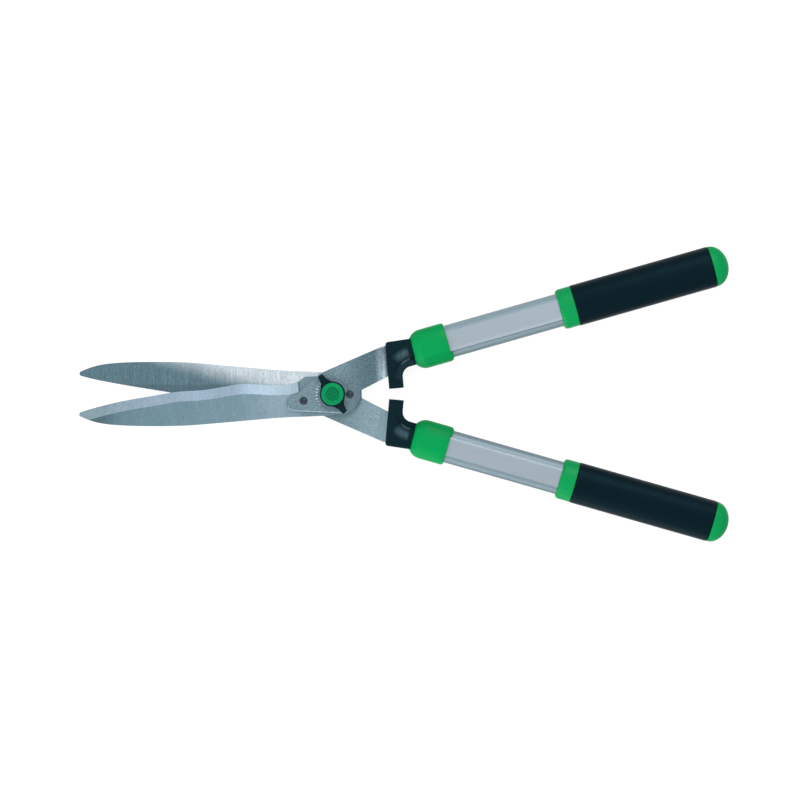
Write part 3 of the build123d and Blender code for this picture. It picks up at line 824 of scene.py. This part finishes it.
cap_low, cap_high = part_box("knob_cap")
cap_radius = (cap_high.x - cap_low.x) / 2
cap_profile = (
    (cap_low.z, cap_radius),
    (cap_high.z - CAP_RIM, cap_radius),
    (cap_high.z - CAP_RIM_EASE, cap_radius - CAP_RIM_EASE),
    (cap_high.z, cap_radius - CAP_RIM),
    (cap_high.z, cap_radius - 2 * CAP_RIM),
    (cap_high.z - CAP_DISH, cap_radius - CAP_DISH_START),
    (cap_high.z - CAP_SWELL, cap_radius / 2),
    (cap_high.z - CAP_CROWN, 0.0),
)
cap_mesh = oval_loft([(z, r, r, straight) for z, r in cap_profile])
cap_data = cast("thumb_disc", cap_mesh, on_end, ribbed_green())
settle("thumb_disc", cap_data, "knob", ["knob_cap"])


# ------------------------------------------------------------------- bumpers
# Black rubber buffers moulded round each joggle; their legs meet when the shears shut.
# Two arcs round each bend are painted bright in streaks, a painted highlight on the rubber's curve:
# radius, half width and strength of each.
BEND_CENTRE = (0.0729, 0.0173, 0.0)
BEND_FACING = math.radians(114)
NECK_TURN = math.radians(15.87)
NECK_CLEAR = (0.0768, 0.0738)
SHEEN_HALF_TURN = math.radians(32)
SHEEN_ARCS = ((0.0146, 0.0013, 0.85), (0.0208, 0.0058, 0.46))


def buffer_rubber_sheen():
    """Smooth black rubber with two arcs painted bright round its bend, a painted highlight."""
    material = moulded(
        "buffer_rubber_sheen", paint(11, 29, 36), roughness=0.34, specular=0.15,
        edge=0.0016, sink=0.001, tint=COOL_GLOSS,
    )
    tree = material.node_tree
    shader = tree.nodes["Principled BSDF"]
    coordinates = put(tree, "ShaderNodeTexCoord")
    folded = put(tree, "ShaderNodeVectorMath", operation="ABSOLUTE")
    tree.links.new(coordinates.outputs["Object"], folded.inputs[0])
    flat = put(tree, "ShaderNodeVectorMath", operation="MULTIPLY_ADD")
    flat.inputs[1].default_value = (1, 1, 0)
    flat.inputs[2].default_value = [-place for place in BEND_CENTRE]
    tree.links.new(folded.outputs["Vector"], flat.inputs[0])
    reach = put(tree, "ShaderNodeVectorMath", operation="LENGTH")
    tree.links.new(flat.outputs["Vector"], reach.inputs[0])
    facing = put(tree, "ShaderNodeVectorMath", operation="DOT_PRODUCT")
    facing.inputs[1].default_value = (math.cos(BEND_FACING), math.sin(BEND_FACING), 0)
    tree.links.new(flat.outputs["Vector"], facing.inputs[0])
    turn = math_node(tree, "DIVIDE", facing.outputs["Value"], reach.outputs["Value"])
    neck = put(tree, "ShaderNodeVectorMath", operation="DOT_PRODUCT")
    neck.inputs[1].default_value = (math.cos(NECK_TURN), math.sin(NECK_TURN), 0)
    tree.links.new(folded.outputs["Vector"], neck.inputs[0])
    clear = ramp(tree, neck.outputs["Value"], *NECK_CLEAR)
    colour = shader.inputs["Base Color"].links[0].from_socket
    sheen_streaks = use_group(
        tree, drawn_marks, coordinates.outputs["Object"],
        Across_per_metre=900.0, Along_per_metre=160.0, Contrast=2.0,
    )
    for radius, half_width, strength in SHEEN_ARCS:
        apart = math_node(tree, "SUBTRACT", reach.outputs["Value"], radius)
        band = ramp(tree, math_node(tree, "ABSOLUTE", apart), half_width, 0.0)
        ends = ramp(tree, turn, math.cos(SHEEN_HALF_TURN), 1.0)
        mask = math_node(tree, "MULTIPLY", sheen_streaks.outputs["Tone"], strength)
        for part in (band, ends, clear):
            mask = math_node(tree, "MULTIPLY", mask, part)
        colour = shade_between(tree, mask, colour, paint(98, 130, 139))
    tree.links.new(colour, shader.inputs["Base Color"])
    return material


wear(["front_bumper", "rear_bumper"], buffer_rubber_sheen())


# ------------------------------------------------------------------ ferrules
# Green nylon ferrules close the front of each tube and carry the tang into it: an oval
# bell with round shoulders and a small lip on the inner side of its back edge. Its inner
# side is painted darker past a line, the painted shade of a soft crease.
# Mouth and rim are given as distances back and inwards, the bore's edge back and outwards.
FERRULE_SHOULDER = 0.0104
FERRULE_SHOULDER_STEPS = 9
FERRULE_DRAW_IN = 0.0058
FERRULE_MOUTH = ((0.0012, 0.0030), (0.0002, 0.0016), (0.0, 0.0008))
FERRULE_BODY_END = 0.009
FERRULE_RIM = ((0.0009, 0.0), (0.00027, 0.00027), (0.0, 0.0009))
FERRULE_WALL = 0.0026
FERRULE_BORE_EDGE = ((0.0, 0.0002), (0.0004, 0.0))
FERRULE_BORE_DEPTH = 0.006
FERRULE_LIP = 0.0016
FERRULE_LIP_START = 0.008
FERRULE_LIP_SLANT = 0.0045
FERRULE_CORNER = 0.0028
OUTER_CORNER_SHARE = 0.5
FERRULE_OVAL = 2.7
FERRULE_CREASE_SHADE = ((-0.0178, 0.85), (-0.0090, 0.86), (-0.0080, 1.0), (0.0178, 1.0))


def handle_seat(arm):
    """Frame of an arm's handle: X along its tube, Z out of the arm's outer side."""
    pin_low, pin_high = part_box(f"{arm}_tang_pin")
    tube_low, tube_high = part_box(f"{arm}_handle_tube")
    centre = (pin_low + pin_high) / 2
    along = ((tube_low + tube_high) / 2 - centre).normalized()
    up = Vector((0, 0, 1 if arm == "front" else -1))
    turned = Matrix((along, up.cross(along), up)).transposed()
    return Matrix.Translation(centre) @ turned.to_4x4()


def seated_size(node, seat):
    """First station, last station, half width and half thickness of a node on its seat."""
    back = seat.inverted()
    points = [back @ vertex.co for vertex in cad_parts[node].data.vertices]
    stations = [point.x for point in points]
    half_width = max(point.y for point in points)
    return min(stations), max(stations), half_width, max(point.z for point in points)


def ferrule_rings(start, end, half_width, half_thickness):
    """Rings of the ferrule: mouth, shoulders, straight body, rolled rim, bore."""
    radius = (FERRULE_SHOULDER**2 + FERRULE_DRAW_IN**2) / (2 * FERRULE_DRAW_IN)

    def lip(across):
        inner = max(-across, 0.0)
        reach = min(max((inner - FERRULE_LIP_START) / FERRULE_LIP_SLANT, 0.0), 1.0)
        reach = reach * reach * (3 - 2 * reach)
        corner = max(abs(across) - (half_width - FERRULE_CORNER), 0.0)
        rounding = FERRULE_CORNER - math.sqrt(max(FERRULE_CORNER**2 - corner**2, 0.0))
        return FERRULE_LIP * (reach - 1) - rounding * (1 if across < 0 else OUTER_CORNER_SHARE)

    mouth_width = half_width - FERRULE_DRAW_IN
    mouth_thickness = half_thickness - FERRULE_DRAW_IN
    rings = [
        (start + back, mouth_width - inset, mouth_thickness - inset, straight)
        for back, inset in FERRULE_MOUTH
    ]
    first = math.asin(FERRULE_SHOULDER / radius)
    for step in range(FERRULE_SHOULDER_STEPS + 1):
        lean = first * (1 - step / FERRULE_SHOULDER_STEPS)
        station = start + FERRULE_SHOULDER - radius * math.sin(lean)
        inset = radius * (1 - math.cos(lean))
        rings.append((station, half_width - inset, half_thickness - inset, straight))
    rings.append((end - FERRULE_BODY_END, half_width, half_thickness, straight))
    for back, inset in FERRULE_RIM:
        rings.append((end - back, half_width - inset, half_thickness - inset, lip))
    bore_width = half_width - FERRULE_WALL
    bore_thickness = half_thickness - FERRULE_WALL
    for back, flare in FERRULE_BORE_EDGE:
        rings.append((end - back, bore_width + flare, bore_thickness + flare, lip))
    rings.append((end - FERRULE_BORE_DEPTH, bore_width, bore_thickness, straight))
    return rings


def side_bands(tree, seat, tones):
    """Painted light and shade across a handle: a tone for each strip, from its inner side to its
    outer side.
    """
    coordinates = put(tree, "ShaderNodeTexCoord")
    offset = put(tree, "ShaderNodeVectorMath", operation="SUBTRACT")
    tree.links.new(coordinates.outputs["Object"], offset.inputs[0])
    offset.inputs[1].default_value = seat.translation
    across = put(tree, "ShaderNodeVectorMath", operation="DOT_PRODUCT")
    tree.links.new(offset.outputs["Vector"], across.inputs[0])
    across.inputs[1].default_value = seat.col[1].to_3d()
    start, end = tones[0][0], tones[-1][0]
    share = put(tree, "ShaderNodeMapRange")
    share.inputs["From Min"].default_value = start
    share.inputs["From Max"].default_value = end
    tree.links.new(across.outputs["Value"], share.inputs["Value"])
    bands = put(tree, "ShaderNodeFloatCurve")
    curve = bands.mapping.curves[0]
    spots = [((station - start) / (end - start), tone / 2) for station, tone in tones]
    curve.points[0].location = spots[0]
    curve.points[-1].location = spots[-1]
    for spot in spots[1:-1]:
        curve.points.new(*spot)
    for point in curve.points:
        point.handle_type = "VECTOR"
    bands.mapping.update()
    tree.links.new(share.outputs["Result"], bands.inputs["Value"])
    return math_node(tree, "MULTIPLY", bands.outputs["Value"], 2.0)


def crease_shaded_green(arm, seat):
    """Ferrule green, painted darker on the inner side of a line as the shade of a soft crease."""
    material = moulded(
        f"{arm}_ferrule_green", paint(0, 168, 89), roughness=0.38, specular=0.09, edge=0.0003
    )
    tree = material.node_tree
    base = tree.nodes["Principled BSDF"].inputs["Base Color"]
    tone = side_bands(tree, seat, FERRULE_CREASE_SHADE)
    tree.links.new(toned(tree, base.links[0].from_socket, tone), base)
    return material


for arm in ("front", "rear"):
    seat = handle_seat(arm)
    ferrule_green = crease_shaded_green(arm, seat)
    rings = ferrule_rings(*seated_size(f"{arm}_ferrule", seat))
    shell = cast(f"{arm}_ferrule_shell", oval_loft(rings, FERRULE_OVAL), seat, ferrule_green)
    settle(f"{arm}_ferrule_shell", shell, f"{arm}_arm", [f"{arm}_ferrule"])


# -------------------------------------------------------------------- tubes
# Drawn oval aluminium tubes with a raised flat along each side, satin anodised. Along the
# inner side a bright line beside dark ones is painted as the highlight and shade of a fine
# drawn line, and the strips off the flat are painted darker and bluer as their shade, the
# rear tube's outer strip darkest.
INNER_LIGHT_AND_SHADE = (
    (-0.0150, 0.60),
    (-0.0131, 0.66),
    (-0.0123, 0.90),
    (-0.0107, 0.90),
    (-0.0100, 0.62),
    (-0.0092, 0.74),
    (-0.0085, 1.34),
    (-0.0075, 1.28),
    (-0.0064, 1.00),
    (0.0080, 1.00),
)
OUTER_STRIP = (0.0093, 0.0150)
OUTER_STRIP_SHADE = {"front": 0.82, "rear": 0.52}
DRAWING_DEPTH = 0.00001
FLAT_FROM = (0.85, 1.0)


def drawn_aluminium(arm):
    """Satin anodised aluminium: drawing lines, and painted light and shade on each side of the
    flat, bluer where shaded.
    """
    material, tree, shader, coordinates = new_material(
        f"{arm}_anodised_aluminium", metallic=0.9, roughness=0.48
    )
    tones = (*INNER_LIGHT_AND_SHADE, *((station, OUTER_STRIP_SHADE[arm]) for station in OUTER_STRIP))
    bands = side_bands(tree, handle_seat(arm), tones)
    lines = use_group(
        tree, drawn_marks, coordinates.outputs["Object"],
        Across_per_metre=12.0, Along_per_metre=1300.0, Contrast=0.2,
    )
    tone = math_node(tree, "MULTIPLY", lines.outputs["Tone"], bands)
    flatness = ramp(tree, bands, *FLAT_FROM)
    colour = shade_between(tree, flatness, paint(149, 170, 180), paint(152, 164, 173))
    tree.links.new(toned(tree, colour, tone), shader.inputs["Base Color"])
    bump(tree, shader, lines.outputs["Height"], DRAWING_DEPTH)
    return material


for arm in ("front", "rear"):
    wear([f"{arm}_handle_tube"], drawn_aluminium(arm))


# --------------------------------------------------------------- grip rings
# Green nylon rings close the front of each grip, their front edge well rounded.
OVAL = 2.35
RING_EDGE = 0.0033
RING_BACK_EDGE = 0.0005
RING_WALL = 0.0032
COLLAR_BORE_DEPTH = 0.003
COLLAR_EDGE_STEPS = 6


def edged_rings(start, end, half_width, half_thickness, edge, back_edge, wall):
    """Rings of a short collar: bore, rounded front edge, body, back edge."""
    bore_end = start + COLLAR_BORE_DEPTH
    rings = [(bore_end, half_width - wall, half_thickness - wall, straight)]
    for step in range(COLLAR_EDGE_STEPS + 1):
        lean = math.pi / 2 * step / COLLAR_EDGE_STEPS
        inset = edge * (1 - math.sin(lean))
        station = start + edge * (1 - math.cos(lean))
        rings.append((station, half_width - inset, half_thickness - inset, straight))
    rings.append((end - back_edge, half_width, half_thickness, straight))
    rings.append((end, half_width - back_edge, half_thickness - back_edge, straight))
    return rings


ring_green = moulded(
    "ring_green", paint(4, 166, 90), roughness=0.36, specular=0.12, edge=0.0003
)
for arm in ("front", "rear"):
    seat = handle_seat(arm)
    size = seated_size(f"{arm}_grip_ring", seat)
    collar = oval_loft(edged_rings(*size, RING_EDGE, RING_BACK_EDGE, RING_WALL), OVAL)
    collar_data = cast(f"{arm}_collar", collar, seat, ring_green)
    settle(f"{arm}_collar", collar_data, f"{arm}_arm", [f"{arm}_grip_ring"])


# -------------------------------------------------------------------- grips
# Soft black grips pulled over the tubes, smooth and matt, a little fuller than the ring
# in front of each and the cap behind it.
GRIP_EDGE = 0.0009

grip_rubber = moulded(
    "grip_rubber", paint(6, 22, 29), roughness=0.4, specular=0.11,
    edge=0.0003, depth=0.00005, tint=COOL_GLOSS,
)
for arm in ("front", "rear"):
    seat = handle_seat(arm)
    size = seated_size(f"{arm}_grip", seat)
    sleeve = oval_loft(edged_rings(*size, GRIP_EDGE, GRIP_EDGE, GRIP_EDGE), OVAL)
    sleeve_data = cast(f"{arm}_soft_grip", sleeve, seat, grip_rubber)
    settle(f"{arm}_soft_grip", sleeve_data, f"{arm}_arm", [f"{arm}_grip"])


# ----------------------------------------------------------------- end caps
# Green nylon caps plug the tubes and close the grips with a smooth oval dome.
DOME_STEPS = 14
DOME_FULLNESS = 0.75
DOME_SEAT_INSET = 0.0006
DOME_SEAT_RISE = 0.0003


def dome_rings(start, end, half_width, half_thickness):
    """Rings of a dome that closes on its tip."""
    rings = [(start, half_width - DOME_SEAT_INSET, half_thickness - DOME_SEAT_INSET, straight)]
    base = start + DOME_SEAT_RISE
    for step in range(DOME_STEPS + 1):
        lean = math.pi / 2 * step / DOME_STEPS
        station = base + (end - base) * math.sin(lean)
        crown = math.cos(lean) ** DOME_FULLNESS
        rings.append((station, half_width * math.cos(lean), half_thickness * crown, straight))
    return rings


end_green = moulded(
    "end_cap_green", paint(3, 165, 90), roughness=0.4, specular=0.1, edge=0.0003
)
for arm in ("front", "rear"):
    seat = handle_seat(arm)
    cap_end, half_width, half_thickness = seated_size(f"{arm}_end_cap", seat)[1:]
    grip_end = seated_size(f"{arm}_grip", seat)[1]
    dome = oval_loft(dome_rings(grip_end, cap_end, half_width, half_thickness), OVAL)
    dome_data = cast(f"{arm}_dome", dome, seat, end_green)
    settle(f"{arm}_dome", dome_data, f"{arm}_arm", [f"{arm}_end_cap"])


# ------------------------------------------------------- inside the handles
# A black nylon core centres each tang in its tube and a steel pin crosses both.
wear(
    ["front_tang_core", "rear_tang_core"],
    moulded("core_nylon", paint(30, 32, 34), roughness=0.5, specular=0.3),
)
wear(
    ["front_tang_pin", "rear_tang_pin"],
    satin_metal("pin_steel", ((0.0, paint(148, 150, 152)),), roughness=0.4),
)
